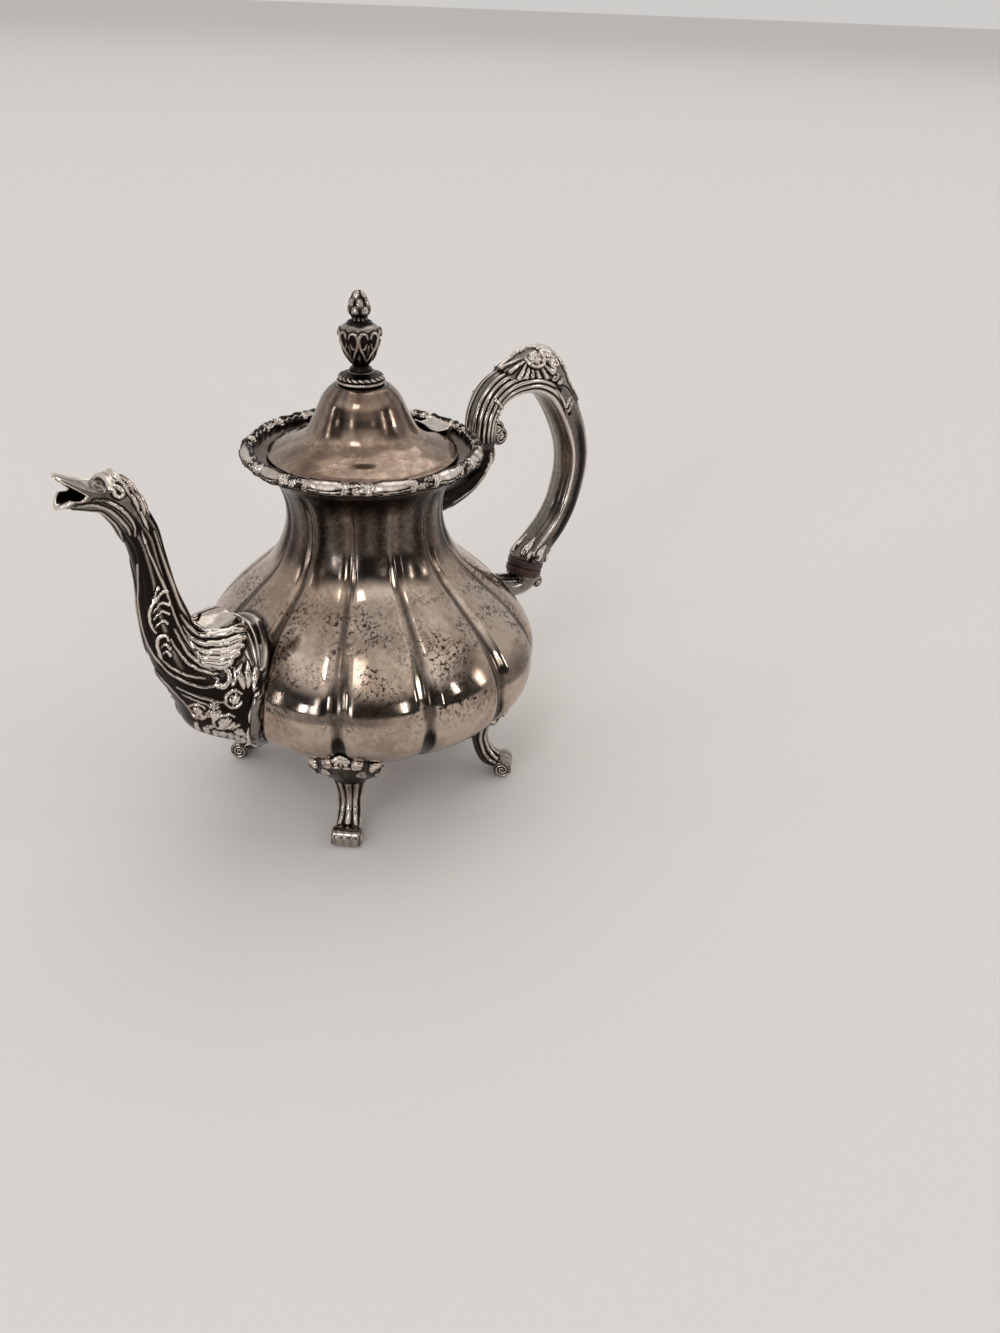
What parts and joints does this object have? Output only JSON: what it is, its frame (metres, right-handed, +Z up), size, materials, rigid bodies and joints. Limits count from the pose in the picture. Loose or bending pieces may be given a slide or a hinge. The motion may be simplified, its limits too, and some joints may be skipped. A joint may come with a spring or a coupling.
{
  "type": "teapot",
  "caption": "Footed silver teapot with a panelled pear-shaped body, bird-neck spout, hinged bell lid with an urn finial, and a C-scroll handle on insulating discs.",
  "frame": {"origin": "on the table under the middle of the base, on the body's axis", "axes": "+Z up, +X towards the handle, -X towards the spout, +Y across the pot"},
  "size_m": [0.2794, 0.1622, 0.239],
  "materials": {
    "silver_plain": "polished silver plate with dark patina in the recesses",
    "silver_cast": "cast silver plate, polished on top with near-black patina in the recesses",
    "metal_fixings": "plain drawn metal",
    "fibre_grey": "matt vulcanised fibre, grey-brown",
    "fibre_red": "matt vulcanised fibre, red-brown"
  },
  "bodies": {
    "pot": {"body_shell": "silver_plain", "base_disc": "silver_plain", "mouth_flange": "silver_plain", "rim_border": "silver_cast", "spout": "silver_cast", "foot_front_left": "silver_cast", "foot_front_right": "silver_cast", "foot_back_right": "silver_cast", "foot_back_left": "silver_cast", "hinge_block": "silver_plain", "hinge_pin": "metal_fixings", "upper_bracket": "silver_cast", "upper_insulator": "fibre_grey", "upper_handle_pin": "metal_fixings", "lower_bracket": "silver_cast", "lower_insulator_red": "fibre_red", "lower_insulator_grey": "fibre_grey", "lower_handle_pin": "metal_fixings", "handle_grip": "silver_cast", "handle_shell": "silver_cast"},
    "lid": {"lid_dome": "silver_plain", "lid_bezel": "silver_plain", "lid_hinge_leaf": "silver_plain", "finial_collar": "silver_cast", "finial_urn": "silver_cast", "finial_screw": "metal_fixings", "finial_washer": "metal_fixings", "finial_nut": "metal_fixings"}
  },
  "joints": [
    {"name": "lid_hinge", "type": "hinge", "parent": "pot", "child": "lid", "pos_m": [0.0439, 0, 0.172], "axis": [0, 1, 0], "range_deg": [0, 90]}
  ]
}
